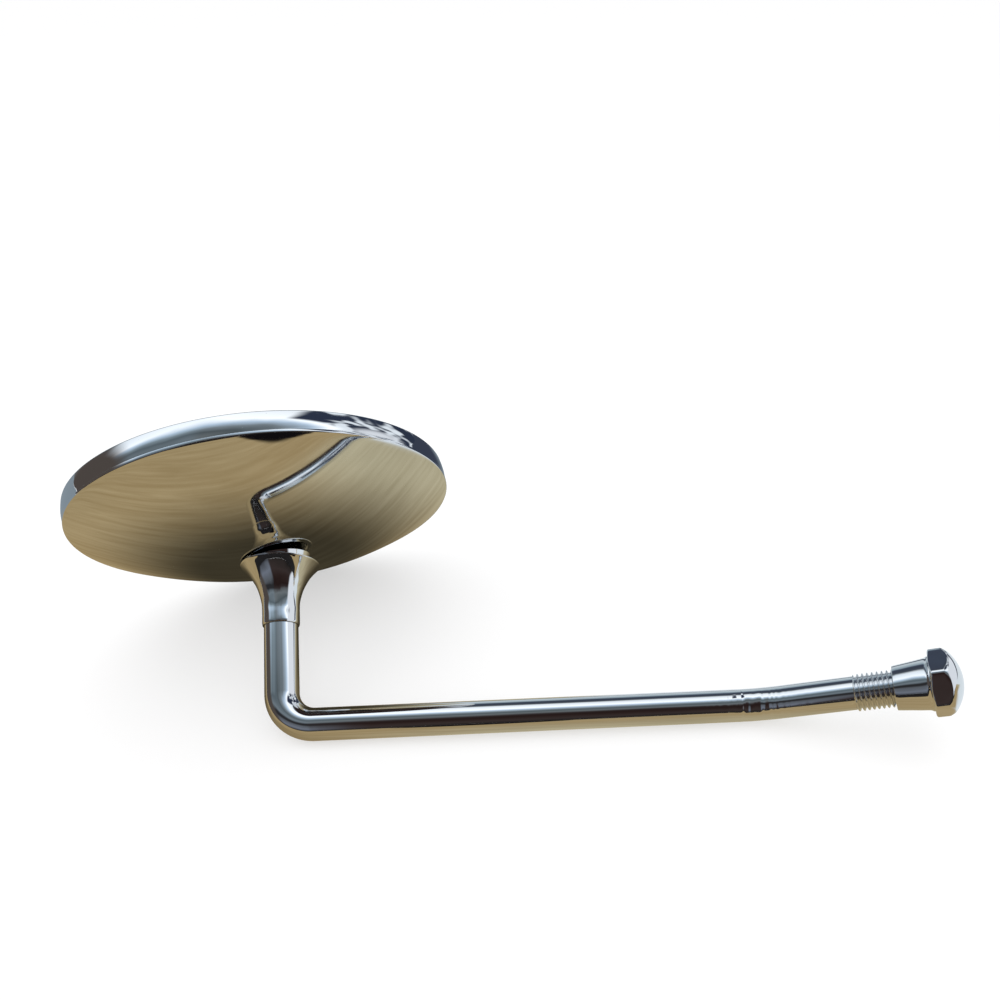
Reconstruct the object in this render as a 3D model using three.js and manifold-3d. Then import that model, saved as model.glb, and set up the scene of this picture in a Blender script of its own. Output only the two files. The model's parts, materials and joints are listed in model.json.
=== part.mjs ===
// Round handlebar mirror with a ball-jointed head on an L-shaped threaded stem, lying on a flat surface.
// Millimetres, +Z up. +X runs along the long leg of the stem towards its threaded end.
import * as THREE from 'three';
import { mergeVertices } from 'three/addons/utils/BufferGeometryUtils.js';
import Module from 'manifold-3d';

const wasm = await Module();
wasm.setup();

// ---------------------------------------------------------------- driving dimensions
const ROD_RADIUS = 4.5;
const BEND_RADIUS = 9.45; // centreline of the bend between the two legs
const LEG_ANGLE = 94.5; // degrees between the two legs
const SHORT_LEG_RISE = 34.3; // degrees that the short leg lifts off the surface
const KINK_DISTANCE = 129.5; // bend corner to the second, slighter bend near the thread
const KINK_RADIUS = 30;
const KINK_RISE = 18.7; // degrees: the threaded end lifts off the surface
const KINK_TURN = -13.27; // degrees sideways, away from the head

const SEAM = 28.3; // bend corner to the ferrule's lower edge, along the short leg
const FLARE_PLANE = 46.4; // bend corner to the ferrule's mouth
const FLARE_RADIUS = 10.3;
const FERRULE_RADIUS = 4.9;
const BALL_CENTRE = 46.6;
const BALL_RADIUS = 5.4;
const NECK_RADIUS = 3.15;
const SEAT_GAP = 0.3; // running gap between the spherical layers of the ball joint
const SEAT_WALL = 0.65;
const NECK_OPENING = 38.5; // degrees, half angle of the hole the neck swings in

const HEAD_AZIMUTH = 105.7; // degrees, direction the glass faces
const HEAD_ELEVATION = 38.2;
const HEAD_RADIUS = 51; // a four inch head
const DOME_DEPTH = 13.8;
const DOME_POWER = 1.85; // profile of the back: depth grows with radius to this power
const DOME_APEX = 1.2; // apex of the back, measured from the ball centre along the head's axis
const SHEET = 0.8;
const BAND_WIDTH = 6.0;
const LIP_WIDTH = 1.1;
const GASKET_WIDTH = 4.3; // black ring seen from the front
const GLASS_THICKNESS = 2.0;
const GAP = 0.3; // between pieces that rest on each other

const STUD_CIRCLE = 13;
const STUD_COUNT = 3;
const STUD_RADIUS = 1.95;

const THREAD_START = 26.0; // from the kink, along the end of the stem
const THREAD_END = 46.4;
const THREAD_RADIUS = 5.0; // M10
const THREAD_ROOT = 4.2;
const THREAD_PITCH = 1.25;
const NUT_MOUTH = 36.1;
const NUT_SHOULDER = 45.1;
const NUT_HEX_END = 49.8;
const NUT_TIP = 53.1;
const NUT_FLATS = 16; // across flats
const BARREL_RADIUS = 5.85; // at the mouth; it widens towards the hex
const BARREL_WIDEST = 7.0;
const BORE_RADIUS = THREAD_RADIUS + GAP;

const ROD_SIDES = 18;
const HEAD_SIDES = 48;
const SMALL_SIDES = 20;
const FIXING_SIDES = 12;

// ---------------------------------------------------------------- materials
const finish = (color, roughness, metalness) => new THREE.MeshStandardMaterial({ color, roughness, metalness });
const chrome = finish(0xd8dadc, 0.06, 1);
const zincSteel = finish(0xb9bbbd, 0.35, 1);
const nylon = finish(0xe6e2d6, 0.45, 0);
const rubber = finish(0x0b0b0c, 0.35, 0);
const glass = finish(0xdfe8ea, 0.02, 0);
const silver = finish(0xc9d2d8, 0.03, 1);
const foam = finish(0x2b2b2d, 0.95, 0);

// ---------------------------------------------------------------- helpers
const radians = THREE.MathUtils.degToRad;
const Z = new THREE.Vector3(0, 0, 1);
const X = new THREE.Vector3(1, 0, 0);

// One closed body with merged vertices, no empty triangles and faces pointing out.
function closed(geometry) {
  const bare = geometry.clone();
  bare.deleteAttribute('normal');
  bare.deleteAttribute('uv');
  const merged = mergeVertices(bare, 1e-4);
  const spot = merged.getAttribute('position');
  const corner = (i) => new THREE.Vector3().fromBufferAttribute(spot, i);
  const faces = [];
  let volume = 0;
  for (let i = 0; i < merged.index.count; i += 3) {
    const [a, b, c] = [0, 1, 2].map((k) => merged.index.getX(i + k));
    if (a === b || b === c || c === a) continue;
    faces.push([a, b, c]);
    volume += corner(a).dot(corner(b).cross(corner(c)));
  }
  merged.setIndex(faces.flatMap(([a, b, c]) => (volume > 0 ? [a, b, c] : [a, c, b])));
  return merged;
}

const toSolid = (geometry) => {
  const body = closed(geometry);
  return new wasm.Manifold(new wasm.Mesh({
    numProp: 3,
    vertProperties: new Float32Array(body.getAttribute('position').array),
    triVerts: new Uint32Array(body.index.array),
  }));
};

const fromSolid = (solid) => {
  const mesh = solid.getMesh();
  const geometry = new THREE.BufferGeometry();
  geometry.setAttribute('position', new THREE.BufferAttribute(new Float32Array(mesh.vertProperties), 3));
  geometry.setIndex(new THREE.BufferAttribute(new Uint32Array(mesh.triVerts), 1));
  return geometry;
};

// Revolves [radius, height] points about +Z.
function turned(profile, sides) {
  const points = profile.map(([r, z]) => new THREE.Vector2(r, z));
  return closed(new THREE.LatheGeometry(points, sides).rotateX(Math.PI / 2));
}

// The same for a ring, whose outline comes back to its first point.
const turnedRing = (outline, sides) => turned([...outline, outline[0]], sides);

// Points of an arc in the [radius, height] plane; degrees, 0 along +radius.
function arc(centreR, centreZ, radiusR, radiusZ, from, to, steps) {
  return Array.from({ length: steps + 1 }, (_, i) => {
    const angle = radians(from + ((to - from) * i) / steps);
    return [centreR + radiusR * Math.cos(angle), centreZ + radiusZ * Math.sin(angle)];
  });
}

function polygonShape(sides, radius, turn = 0) {
  const corners = Array.from({ length: sides }, (_, i) => {
    const angle = turn + (2 * Math.PI * i) / sides;
    return new THREE.Vector2(radius * Math.cos(angle), radius * Math.sin(angle));
  });
  return new THREE.Shape(corners);
}

function holed(shape, holes) {
  for (const [x, y, radius] of holes) shape.holes.push(new THREE.Path().absarc(x, y, radius, 0, 2 * Math.PI));
  return shape;
}

function plate(shape, bottom, thickness) {
  const settings = { depth: thickness, bevelEnabled: false, curveSegments: FIXING_SIDES };
  return closed(new THREE.ExtrudeGeometry(shape, settings).translate(0, 0, bottom));
}

function addMesh(group, name, geometry, material) {
  geometry.computeVertexNormals();
  const mesh = new THREE.Mesh(geometry, material);
  mesh.name = name;
  group.add(mesh);
  return mesh;
}

// ---------------------------------------------------------------- frames
const shortDirection = new THREE.Vector3(
  Math.cos(radians(LEG_ANGLE)),
  Math.sin(radians(LEG_ANGLE)) * Math.cos(radians(SHORT_LEG_RISE)),
  Math.sin(radians(LEG_ANGLE)) * Math.sin(radians(SHORT_LEG_RISE)),
);
const headDirection = new THREE.Vector3(
  Math.cos(radians(HEAD_AZIMUTH)) * Math.cos(radians(HEAD_ELEVATION)),
  Math.sin(radians(HEAD_AZIMUTH)) * Math.cos(radians(HEAD_ELEVATION)),
  Math.sin(radians(HEAD_ELEVATION)),
);
const endDirection = new THREE.Vector3(
  Math.cos(radians(KINK_RISE)) * Math.cos(radians(KINK_TURN)),
  Math.cos(radians(KINK_RISE)) * Math.sin(radians(KINK_TURN)),
  Math.sin(radians(KINK_RISE)),
);
const bendCorner = new THREE.Vector3(0, 0, ROD_RADIUS);
const kinkCorner = new THREE.Vector3(KINK_DISTANCE, 0, ROD_RADIUS);

const mirror = new THREE.Group();

// +Z of this group runs up the short leg from the bend corner.
const neckFrame = new THREE.Group();
neckFrame.position.copy(bendCorner);
neckFrame.quaternion.setFromUnitVectors(Z, shortDirection);

// The head's group has its origin at the ball centre and +Z towards the glass.
const headFrame = new THREE.Group();
headFrame.position.copy(bendCorner).addScaledVector(shortDirection, BALL_CENTRE);
headFrame.quaternion.setFromUnitVectors(Z, headDirection);

// +Z of the end's group is the thread axis from the kink outwards, +X its upward side.
const endFrame = new THREE.Group();
const endUp = Z.clone().addScaledVector(endDirection, -Z.dot(endDirection)).normalize();
const endSide = new THREE.Vector3().crossVectors(endDirection, endUp);
endFrame.position.copy(kinkCorner);
endFrame.quaternion.setFromRotationMatrix(new THREE.Matrix4().makeBasis(endUp, endSide, endDirection));

mirror.add(neckFrame, headFrame, endFrame);

// ---------------------------------------------------------------- stem
// A curve whose samples fall exactly on the given points, so straight runs need no extra rings.
class PointPath extends THREE.Curve {
  constructor(points) {
    super();
    this.points = points;
  }

  getPoint(t) {
    const last = this.points.length - 1;
    const place = Math.min(Math.max(t, 0), 1) * last;
    const low = Math.min(Math.floor(place), last - 1);
    return this.points[low].clone().lerp(this.points[low + 1], place - low);
  }

  getPointAt(t) {
    return this.getPoint(t);
  }

  getTangentAt(t) {
    const last = this.points.length - 1;
    const index = Math.round(t * last);
    const before = this.points[Math.max(index - 1, 0)];
    const after = this.points[Math.min(index + 1, last)];
    const here = this.points[index];
    const inward = here.clone().sub(before).normalize();
    const outward = after.clone().sub(here).normalize();
    return inward.add(outward).normalize();
  }
}

// Arc that rounds a corner between the directions back and ahead.
function roundedCorner(corner, back, ahead, radius, steps) {
  const between = back.angleTo(ahead);
  const tangent = radius / Math.tan(between / 2);
  const middle = back.clone().add(ahead).normalize();
  const centre = corner.clone().addScaledVector(middle, radius / Math.sin(between / 2));
  const first = corner.clone().addScaledVector(back, tangent).sub(centre);
  const last = corner.clone().addScaledVector(ahead, tangent).sub(centre);
  const sweep = Math.PI - between;
  return Array.from({ length: steps + 1 }, (_, i) => {
    const share = i / steps;
    return centre.clone()
      .addScaledVector(first, Math.sin((1 - share) * sweep) / Math.sin(sweep))
      .addScaledVector(last, Math.sin(share * sweep) / Math.sin(sweep));
  });
}

const SPIGOT_RADIUS = 3.85;
const SPIGOT_END = 36.6;
const SOCKET_RADIUS = 3.0; // blind hole that takes the ball stud's shank
const SOCKET_FLOOR = 29.6;
const SHANK_RADIUS = SOCKET_RADIUS - GAP;

function stemRod() {
  const rodPath = new PointPath([
    bendCorner.clone().addScaledVector(shortDirection, SEAM - GAP),
    ...roundedCorner(bendCorner, shortDirection, X, BEND_RADIUS, 9),
    ...roundedCorner(kinkCorner, X.clone().negate(), endDirection, KINK_RADIUS, 4),
    kinkCorner.clone().addScaledVector(endDirection, THREAD_START),
  ]);
  const rod = new THREE.ExtrudeGeometry(polygonShape(ROD_SIDES, ROD_RADIUS), {
    extrudePath: rodPath,
    steps: rodPath.points.length - 1,
  });

  const spigot = turned([
    [0, SEAM - 3],
    [SPIGOT_RADIUS, SEAM - 3],
    [SPIGOT_RADIUS, SPIGOT_END],
    [SOCKET_RADIUS, SPIGOT_END],
    [SOCKET_RADIUS, SOCKET_FLOOR],
    [0, SOCKET_FLOOR],
  ], ROD_SIDES);
  neckFrame.updateMatrixWorld();
  spigot.applyMatrix4(neckFrame.matrixWorld);

  const ridges = [[0, THREAD_START - 3], [THREAD_ROOT, THREAD_START - 3]];
  for (let z = THREAD_START - 0.4; z + THREAD_PITCH < THREAD_END; z += THREAD_PITCH) {
    ridges.push([THREAD_ROOT, z], [THREAD_RADIUS, z + THREAD_PITCH / 2]);
  }
  ridges.push([THREAD_ROOT, THREAD_END], [0, THREAD_END]);
  const thread = turned(ridges, ROD_SIDES);
  endFrame.updateMatrixWorld();
  thread.applyMatrix4(endFrame.matrixWorld);

  return fromSolid(toSolid(rod).add(toSolid(spigot)).add(toSolid(thread)));
}

// ---------------------------------------------------------------- ferrule
function ferrule() {
  const flareArc = 10.2;
  const flareStart = 34.9;
  const centreR = FERRULE_RADIUS + flareArc;
  const throat = flareArc + 0.9;
  const outerEnd = 180 - 61.5;
  const innerEnd = 180 - 54.2;
  return turnedRing([
    [4.15, SEAM],
    [FERRULE_RADIUS - 0.2, SEAM],
    [FERRULE_RADIUS, SEAM + 0.3],
    ...arc(centreR, flareStart, flareArc, flareArc, 180, outerEnd, 6),
    [FLARE_RADIUS + 0.05, FLARE_PLANE - 1.9],
    [FLARE_RADIUS - 0.1, FLARE_PLANE - 1.0],
    [FLARE_RADIUS - 0.6, FLARE_PLANE - 0.3],
    [FLARE_RADIUS - 1.2, FLARE_PLANE],
    [FLARE_RADIUS - 1.7, FLARE_PLANE],
    ...arc(centreR, flareStart, throat, throat, innerEnd, 180 - 19, 4),
    [4.15, SPIGOT_END + 0.3],
  ], 24);
}

// ---------------------------------------------------------------- ball joint
const ballRing = (radius, fromPole, toPole, steps) => arc(0, 0, radius, radius, fromPole - 90, toPole - 90, steps);

function ballStud() {
  const neckMeet = Math.acos(NECK_RADIUS / BALL_RADIUS);
  return turned([
    [0, SOCKET_FLOOR + GAP],
    [SHANK_RADIUS, SOCKET_FLOOR + GAP],
    [SHANK_RADIUS, SPIGOT_END + GAP],
    [NECK_RADIUS, SPIGOT_END + GAP],
    ...arc(0, BALL_CENTRE, BALL_RADIUS, BALL_RADIUS, -THREE.MathUtils.radToDeg(neckMeet), 90, 8)
      .map(([r, z], i, all) => [i === all.length - 1 ? 0 : r, z]),
  ], SMALL_SIDES);
}

const SEAT_INNER = BALL_RADIUS + SEAT_GAP;
const SEAT_OUTER = SEAT_INNER + SEAT_WALL;
const SOCKET_INNER = SEAT_OUTER + SEAT_GAP;
const SOCKET_OUTER = SOCKET_INNER + SHEET;

// Nylon ring between the ball and the formed socket; it stays in line with the short leg.
function ballSeat() {
  const outline = [...ballRing(SEAT_INNER, 35, 80, 4), ...ballRing(SEAT_OUTER, 80, 35, 4)];
  return turnedRing(outline.map(([r, z]) => [r, z + BALL_CENTRE]), SMALL_SIDES);
}

// Cup that presses on the glass side of the ball, with a flat seat and a guide pin.
const CUP_SEAT = 6.5;
function pressureCup() {
  return turned([
    ...arc(0, 0, SEAT_INNER, SEAT_INNER, 90, 20, 5).map(([r, z], i) => [i === 0 ? 0 : r, z]),
    [6.5, 1.95],
    [6.8, 2.4],
    [6.8, CUP_SEAT - 0.4],
    [6.4, CUP_SEAT],
    [2.2, CUP_SEAT],
    [2.2, 10.9],
    [0, 10.9],
  ], SMALL_SIDES);
}

// ---------------------------------------------------------------- head shell
const domeHeight = (r) => DOME_APEX + DOME_DEPTH * (r / HEAD_RADIUS) ** DOME_POWER;
const domeSlope = (r) => (DOME_DEPTH * DOME_POWER * (r / HEAD_RADIUS) ** (DOME_POWER - 1)) / HEAD_RADIUS;

// Point of the back's profile, moved inwards along its normal.
function domePoint(r, inward) {
  const slope = domeSlope(r);
  const length = Math.hypot(1, slope);
  return [r - (inward * slope) / length, domeHeight(r) + inward / length];
}

const BAND_REAR = DOME_APEX + DOME_DEPTH;
const BAND_FRONT = BAND_REAR + BAND_WIDTH;
const SHOULDER = BAND_REAR + 0.7; // the back's edge is flush with the rim that butts against it
const SKIRT_RADIUS = HEAD_RADIUS - 1.0;
const SKIRT_INNER = SKIRT_RADIUS - SHEET;
const SKIRT_TOP = BAND_FRONT - 2.0;
const LIP_INNER = HEAD_RADIUS - LIP_WIDTH;

function domeShell() {
  const spread = (last) => Array.from({ length: 8 }, (_, i) => 8.4 + ((last - 8.4) * i) / 7);
  const radiiOut = spread(50.2);
  const radiiIn = spread(48.6).reverse();
  return turnedRing([
    ...ballRing(SOCKET_OUTER, NECK_OPENING, 82, 4),
    [SOCKET_OUTER + 0.1, -0.3],
    ...radiiOut.map((r) => domePoint(r, 0)),
    [HEAD_RADIUS - 0.1, BAND_REAR + 0.05],
    [HEAD_RADIUS, BAND_REAR + 0.3],
    [HEAD_RADIUS, SHOULDER],
    [SKIRT_RADIUS, SHOULDER],
    [SKIRT_RADIUS, SKIRT_TOP],
    [SKIRT_INNER, SKIRT_TOP],
    [SKIRT_INNER, BAND_REAR + 0.6],
    ...radiiIn.map((r) => domePoint(r, SHEET)),
    [SOCKET_INNER + 0.3, 0.8],
    ...ballRing(SOCKET_INNER, 90, NECK_OPENING, 4),
  ], HEAD_SIDES);
}

// Chrome rim that laps over the shell's skirt and rolls in over the gasket.
function rimRing() {
  const inside = HEAD_RADIUS - 0.6;
  return turnedRing([
    [inside, SHOULDER + GAP],
    [HEAD_RADIUS, SHOULDER + GAP],
    [HEAD_RADIUS, BAND_FRONT - 1.0],
    [HEAD_RADIUS - 0.2, BAND_FRONT - 0.3],
    [HEAD_RADIUS - 0.6, BAND_FRONT],
    [LIP_INNER, BAND_FRONT - 0.2],
    [LIP_INNER, BAND_FRONT - 0.7],
    [inside, BAND_FRONT - 1.2],
  ], HEAD_SIDES);
}

// ---------------------------------------------------------------- glass pack
const GLASS_RADIUS = 47.3;
const GLASS_BACK = 17.7;
const GLASS_FRONT = GLASS_BACK + GLASS_THICKNESS;
const GASKET_INNER = LIP_INNER - GASKET_WIDTH;

function glassGasket() {
  const wallOuter = SKIRT_INNER - GAP;
  const wallInner = GLASS_RADIUS + GAP;
  const footBottom = BAND_REAR + 0.2;
  const beadBase = GLASS_FRONT + 0.6;
  const beadOuter = GASKET_INNER + 2.35;
  const beadCentre = (GASKET_INNER + beadOuter) / 2;
  return turnedRing([
    [GASKET_INNER - 0.2, footBottom],
    [wallOuter - 0.3, footBottom],
    [wallOuter, footBottom + 0.3],
    [wallOuter, SKIRT_TOP + GAP],
    [LIP_INNER - GAP, SKIRT_TOP + GAP],
    [LIP_INNER - GAP, beadBase],
    ...arc(beadCentre, beadBase, beadOuter - beadCentre, 0.6, 0, 180, 4),
    [GASKET_INNER, GLASS_FRONT + GAP],
    [wallInner, GLASS_FRONT + GAP],
    [wallInner, footBottom + 0.4],
    [GASKET_INNER - 0.2, footBottom + 0.4],
  ], HEAD_SIDES);
}

const disc = (radius, bottom, thickness) => turned([
  [0, bottom],
  [radius, bottom],
  [radius, bottom + thickness],
  [0, bottom + thickness],
], HEAD_SIDES);

// ---------------------------------------------------------------- clamp inside the head
const CLAMP_BOTTOM = 8.9;
const CLAMP_THICKNESS = 1.2;
const CLAMP_TOP = CLAMP_BOTTOM + CLAMP_THICKNESS;
const WASHER_THICKNESS = 0.8;
const NUT_HEIGHT = 2.8;

const studSpot = (i) => {
  const angle = Math.PI / 2 + (2 * Math.PI * i) / STUD_COUNT;
  return [STUD_CIRCLE * Math.cos(angle), STUD_CIRCLE * Math.sin(angle), angle];
};

// Rounded triangle bridging the three studs.
function clampPlate() {
  const lobe = 4.8;
  const shape = new THREE.Shape();
  const holes = [[0, 0, 2.6]];
  for (let i = 0; i < STUD_COUNT; i += 1) {
    const [x, y, angle] = studSpot(i);
    shape.absarc(x, y, lobe, angle - Math.PI / 3, angle + Math.PI / 3, false);
    holes.push([x, y, STUD_RADIUS + GAP]);
  }
  return plate(holed(shape, holes), CLAMP_BOTTOM, CLAMP_THICKNESS);
}

// Conical spring washer between the cup and the plate.
const discSpring = () => turnedRing([
  [2.6, CUP_SEAT + 1.2],
  [6.2, CUP_SEAT + GAP],
  [6.2, CUP_SEAT + GAP + 0.6],
  [2.6, CUP_SEAT + 1.8],
], SMALL_SIDES);

const weldStud = () => turned([
  [0, 4.0],
  [3.0, 4.0],
  [3.0, 4.8],
  [2.6, 4.8],
  [2.6, CLAMP_BOTTOM - GAP],
  [STUD_RADIUS, CLAMP_BOTTOM - GAP],
  [STUD_RADIUS, 14.6],
  [0, 14.8],
], FIXING_SIDES);

const lockWasher = () => turnedRing([
  [2.3, CLAMP_TOP + GAP],
  [3.5, CLAMP_TOP + GAP],
  [3.5, CLAMP_TOP + GAP + WASHER_THICKNESS],
  [2.3, CLAMP_TOP + GAP + WASHER_THICKNESS],
], FIXING_SIDES);

const clampNut = () => plate(
  holed(polygonShape(6, 4.04), [[0, 0, STUD_RADIUS + GAP]]),
  CLAMP_TOP + 2 * GAP + WASHER_THICKNESS,
  NUT_HEIGHT,
);

// ---------------------------------------------------------------- cap nut
const RECESS_START = 47.0; // recess for the nylon locking ring
const RECESS_END = 49.2;
const RECESS_RADIUS = 6.6;
const BORE_END = 50.6;
const END_RADIUS = 8.3; // of the domed end where it meets the hex

function capNut() {
  const corner = NUT_FLATS / Math.sqrt(3);
  const hexBar = plate(polygonShape(6, corner, Math.PI / 6), NUT_SHOULDER - 1, NUT_TIP - NUT_SHOULDER + 2);
  const envelope = turned([
    [0, NUT_SHOULDER],
    [7.9, NUT_SHOULDER],
    [corner, NUT_SHOULDER + 0.9],
    [corner, NUT_HEX_END - 1.2],
    [END_RADIUS, NUT_HEX_END],
    ...arc(0, NUT_HEX_END, END_RADIUS, NUT_TIP - NUT_HEX_END, 15, 90, 5)
      .map(([r, z], i, all) => [i === all.length - 1 ? 0 : r, z]),
  ], 24);
  const barrel = turned([
    [0, NUT_MOUTH],
    [BARREL_RADIUS - 0.15, NUT_MOUTH],
    [BARREL_RADIUS, NUT_MOUTH + 0.2],
    [BARREL_WIDEST - 0.2, NUT_SHOULDER - 0.7],
    [BARREL_WIDEST + 0.2, NUT_SHOULDER - 0.1],
    [BARREL_WIDEST + 0.2, NUT_SHOULDER + 0.5],
    [0, NUT_SHOULDER + 0.5],
  ], 24);
  const bore = turned([
    [0, NUT_MOUTH - 1],
    [BORE_RADIUS, NUT_MOUTH - 1],
    [BORE_RADIUS, RECESS_START],
    [RECESS_RADIUS, RECESS_START],
    [RECESS_RADIUS, RECESS_END],
    [BORE_RADIUS, RECESS_END],
    [BORE_RADIUS, BORE_END],
    [0, BORE_END],
  ], 24);
  const outside = toSolid(envelope).intersect(toSolid(hexBar)).add(toSolid(barrel));
  return fromSolid(outside.subtract(toSolid(bore)));
}

const lockRing = () => turnedRing([
  [BORE_RADIUS + 0.05, RECESS_START + GAP],
  [RECESS_RADIUS - GAP, RECESS_START + GAP],
  [RECESS_RADIUS - GAP, RECESS_END - GAP],
  [BORE_RADIUS + 0.05, RECESS_END - GAP],
], SMALL_SIDES);

// ---------------------------------------------------------------- assembly
addMesh(mirror, 'stem_rod', stemRod(), chrome);
addMesh(neckFrame, 'ferrule', ferrule(), chrome);
addMesh(neckFrame, 'ball_stud', ballStud(), zincSteel);
addMesh(neckFrame, 'ball_seat', ballSeat(), nylon);

addMesh(headFrame, 'pressure_cup', pressureCup(), nylon);
addMesh(headFrame, 'dome_shell', domeShell(), chrome);
addMesh(headFrame, 'rim_ring', rimRing(), chrome);
addMesh(headFrame, 'glass_gasket', glassGasket(), rubber);
addMesh(headFrame, 'mirror_glass', disc(GLASS_RADIUS, GLASS_BACK, GLASS_THICKNESS), glass);
addMesh(headFrame, 'mirror_coat', disc(GLASS_RADIUS - 0.3, GLASS_BACK - 0.42, 0.12), silver);
addMesh(headFrame, 'backing_pad', disc(GLASS_RADIUS - 0.3, BAND_REAR + 0.9, 1.1), foam);
addMesh(headFrame, 'disc_spring', discSpring(), zincSteel);
addMesh(headFrame, 'clamp_plate', clampPlate(), zincSteel);
for (let i = 0; i < STUD_COUNT; i += 1) {
  const [x, y] = studSpot(i);
  const pieces = { weld_stud: weldStud(), lock_washer: lockWasher(), clamp_nut: clampNut() };
  for (const [name, geometry] of Object.entries(pieces)) {
    addMesh(headFrame, `${name}_${i + 1}`, geometry, zincSteel).position.set(x, y, 0);
  }
}

addMesh(endFrame, 'cap_nut', capNut(), chrome);
addMesh(endFrame, 'lock_ring', lockRing(), nylon);

// Origin under the middle of the whole mirror, on the surface it lies on.
mirror.updateMatrixWorld(true);
const bounds = new THREE.Box3().setFromObject(mirror, true);
const middle = bounds.getCenter(new THREE.Vector3());
mirror.position.set(-middle.x, -middle.y, -bounds.min.z);

export default mirror;
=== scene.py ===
"""Looks of a round chrome handlebar mirror: domed head on a ball joint, bent threaded stem, hex cap nut.

Blender's unit is the metre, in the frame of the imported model. Profiles are (radius, height) points in
millimetres along the axis that a piece is turned about, and a third number rounds the corner there.
"""

import json
import math

import bmesh
import bpy
from mathutils import Matrix, Vector, noise


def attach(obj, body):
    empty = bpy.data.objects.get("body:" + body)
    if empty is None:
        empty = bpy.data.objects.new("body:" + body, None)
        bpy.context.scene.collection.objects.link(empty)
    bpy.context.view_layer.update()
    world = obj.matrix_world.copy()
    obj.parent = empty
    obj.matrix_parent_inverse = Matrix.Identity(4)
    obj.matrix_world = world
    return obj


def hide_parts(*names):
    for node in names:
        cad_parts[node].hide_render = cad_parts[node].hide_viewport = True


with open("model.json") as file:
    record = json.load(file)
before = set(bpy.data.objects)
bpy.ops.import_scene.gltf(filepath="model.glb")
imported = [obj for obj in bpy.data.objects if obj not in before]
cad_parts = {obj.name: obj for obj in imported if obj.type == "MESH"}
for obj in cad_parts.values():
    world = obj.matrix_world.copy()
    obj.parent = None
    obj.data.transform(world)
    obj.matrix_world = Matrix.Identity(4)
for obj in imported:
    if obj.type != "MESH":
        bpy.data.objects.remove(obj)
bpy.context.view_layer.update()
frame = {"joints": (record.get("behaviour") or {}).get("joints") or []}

MM = 0.001
TURN = 2 * math.pi

# ---------------------------------------------------------------- sizes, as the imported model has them
ROD_RADIUS = 4.5
BEND_RADIUS = 9.45
KINK_DISTANCE = 129.5  # from the bend's corner to the slighter bend near the thread
KINK_RADIUS = 30.0
BALL_HEIGHT = 46.6  # from the bend's corner, up the short leg
COLLAR_SEAM = 28.3
COLLAR_RADIUS = 4.9
COLLAR_BORE = 4.15
FLARE_START = 32.6
FLARE_ARC = 19.0
FLARE_RADIUS = 10.56
FLARE_PLANE = 46.4
COLLAR_WALL = 0.9
SPIGOT_RADIUS = 3.85
SPIGOT_END = 36.6
SOCKET_RADIUS = 3.0
SOCKET_FLOOR = 29.6
BALL_RADIUS = 5.4
NECK_RADIUS = 3.15
RUNNING_GAP = 0.3
COLLAR_GAP = 0.04  # what shows of the joint between collar and rod

HEAD_RADIUS = 51.0
DOME_APEX = 1.2
DOME_DEPTH = 13.8
DOME_POWER = 1.85
SHEET = 0.8
BAND_REAR = DOME_APEX + DOME_DEPTH
BAND_FRONT = BAND_REAR + 6.0
SHOULDER = BAND_REAR + 0.7
SKIRT_RADIUS = HEAD_RADIUS - 1.0
SKIRT_TOP = BAND_FRONT - 2.0
LIP_INNER = HEAD_RADIUS - 1.1
SEAL_INNER = LIP_INNER - 4.3
GLASS_RADIUS = 47.3
GLASS_BACK = 17.7
GLASS_FRONT = 19.7
STUD_CIRCLE = 13.0
STUD_FOOT = 4.0
STUD_END = 14.8
CLAMP_BOTTOM = 8.9
CLAMP_TOP = 10.1

THREAD_START = 26.0  # from the kink, along the end of the stem
THREAD_END = 46.4
THREAD_CREST = 5.0
THREAD_ROOT = 4.2
THREAD_PITCH = 1.25
NUT_MOUTH = 36.1
NUT_SHOULDER = 45.1
NUT_HEX_END = 49.8
NUT_TIP = 53.1
NUT_FLATS = 16.0
BARREL_RADIUS = 5.85
BARREL_WIDEST = 7.0
BORE_RADIUS = 5.3
BORE_END = 50.6
RECESS_RADIUS = 6.6  # room for the locking ring
RECESS_START = 47.0
RECESS_END = 49.2
LOCK_RING_GAP = 0.3

# ---------------------------------------------------------------- places, from the model's joints
joints = {joint["name"]: joint for joint in frame["joints"]}
ball = Vector(joints["head_swivel"]["pos_m"])
short_leg = Vector(joints["head_swivel"]["axis"]).normalized()
head_axis = Vector(joints["head_spin"]["axis"]).normalized()
thread_axis = Vector(joints["nut_travel"]["axis"]).normalized()
long_leg = Vector((1, 0, 0))
bend_corner = ball - short_leg * BALL_HEIGHT * MM
kink_corner = bend_corner + long_leg * KINK_DISTANCE * MM


def along(origin, axis):
    """Frame with its z along axis, in millimetres."""
    turn = Vector((0, 0, 1)).rotation_difference(axis)
    return Matrix.Translation(origin) @ turn.to_matrix().to_4x4() @ Matrix.Scale(MM, 4)


def end_place():
    """Frame of the threaded end: z along the thread, x on its upward side."""
    up = (Vector((0, 0, 1)) - thread_axis * thread_axis.z).normalized()
    turn = Matrix((up, thread_axis.cross(up), thread_axis)).transposed()
    return Matrix.Translation(kink_corner) @ turn.to_4x4() @ Matrix.Scale(MM, 4)


neck_frame = along(bend_corner, short_leg)
head_frame = along(ball, head_axis)
end_frame = end_place()


# ---------------------------------------------------------------- outlines
def arc(centre, radius, start, stop, steps):
    """Points of a circle's arc about (radius, height) centre, in degrees from the radius axis."""
    points = []
    for i in range(steps + 1):
        angle = math.radians(start + (stop - start) * i / steps)
        points.append((centre[0] + radius * math.cos(angle), centre[1] + radius * math.sin(angle)))
    return points


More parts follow.
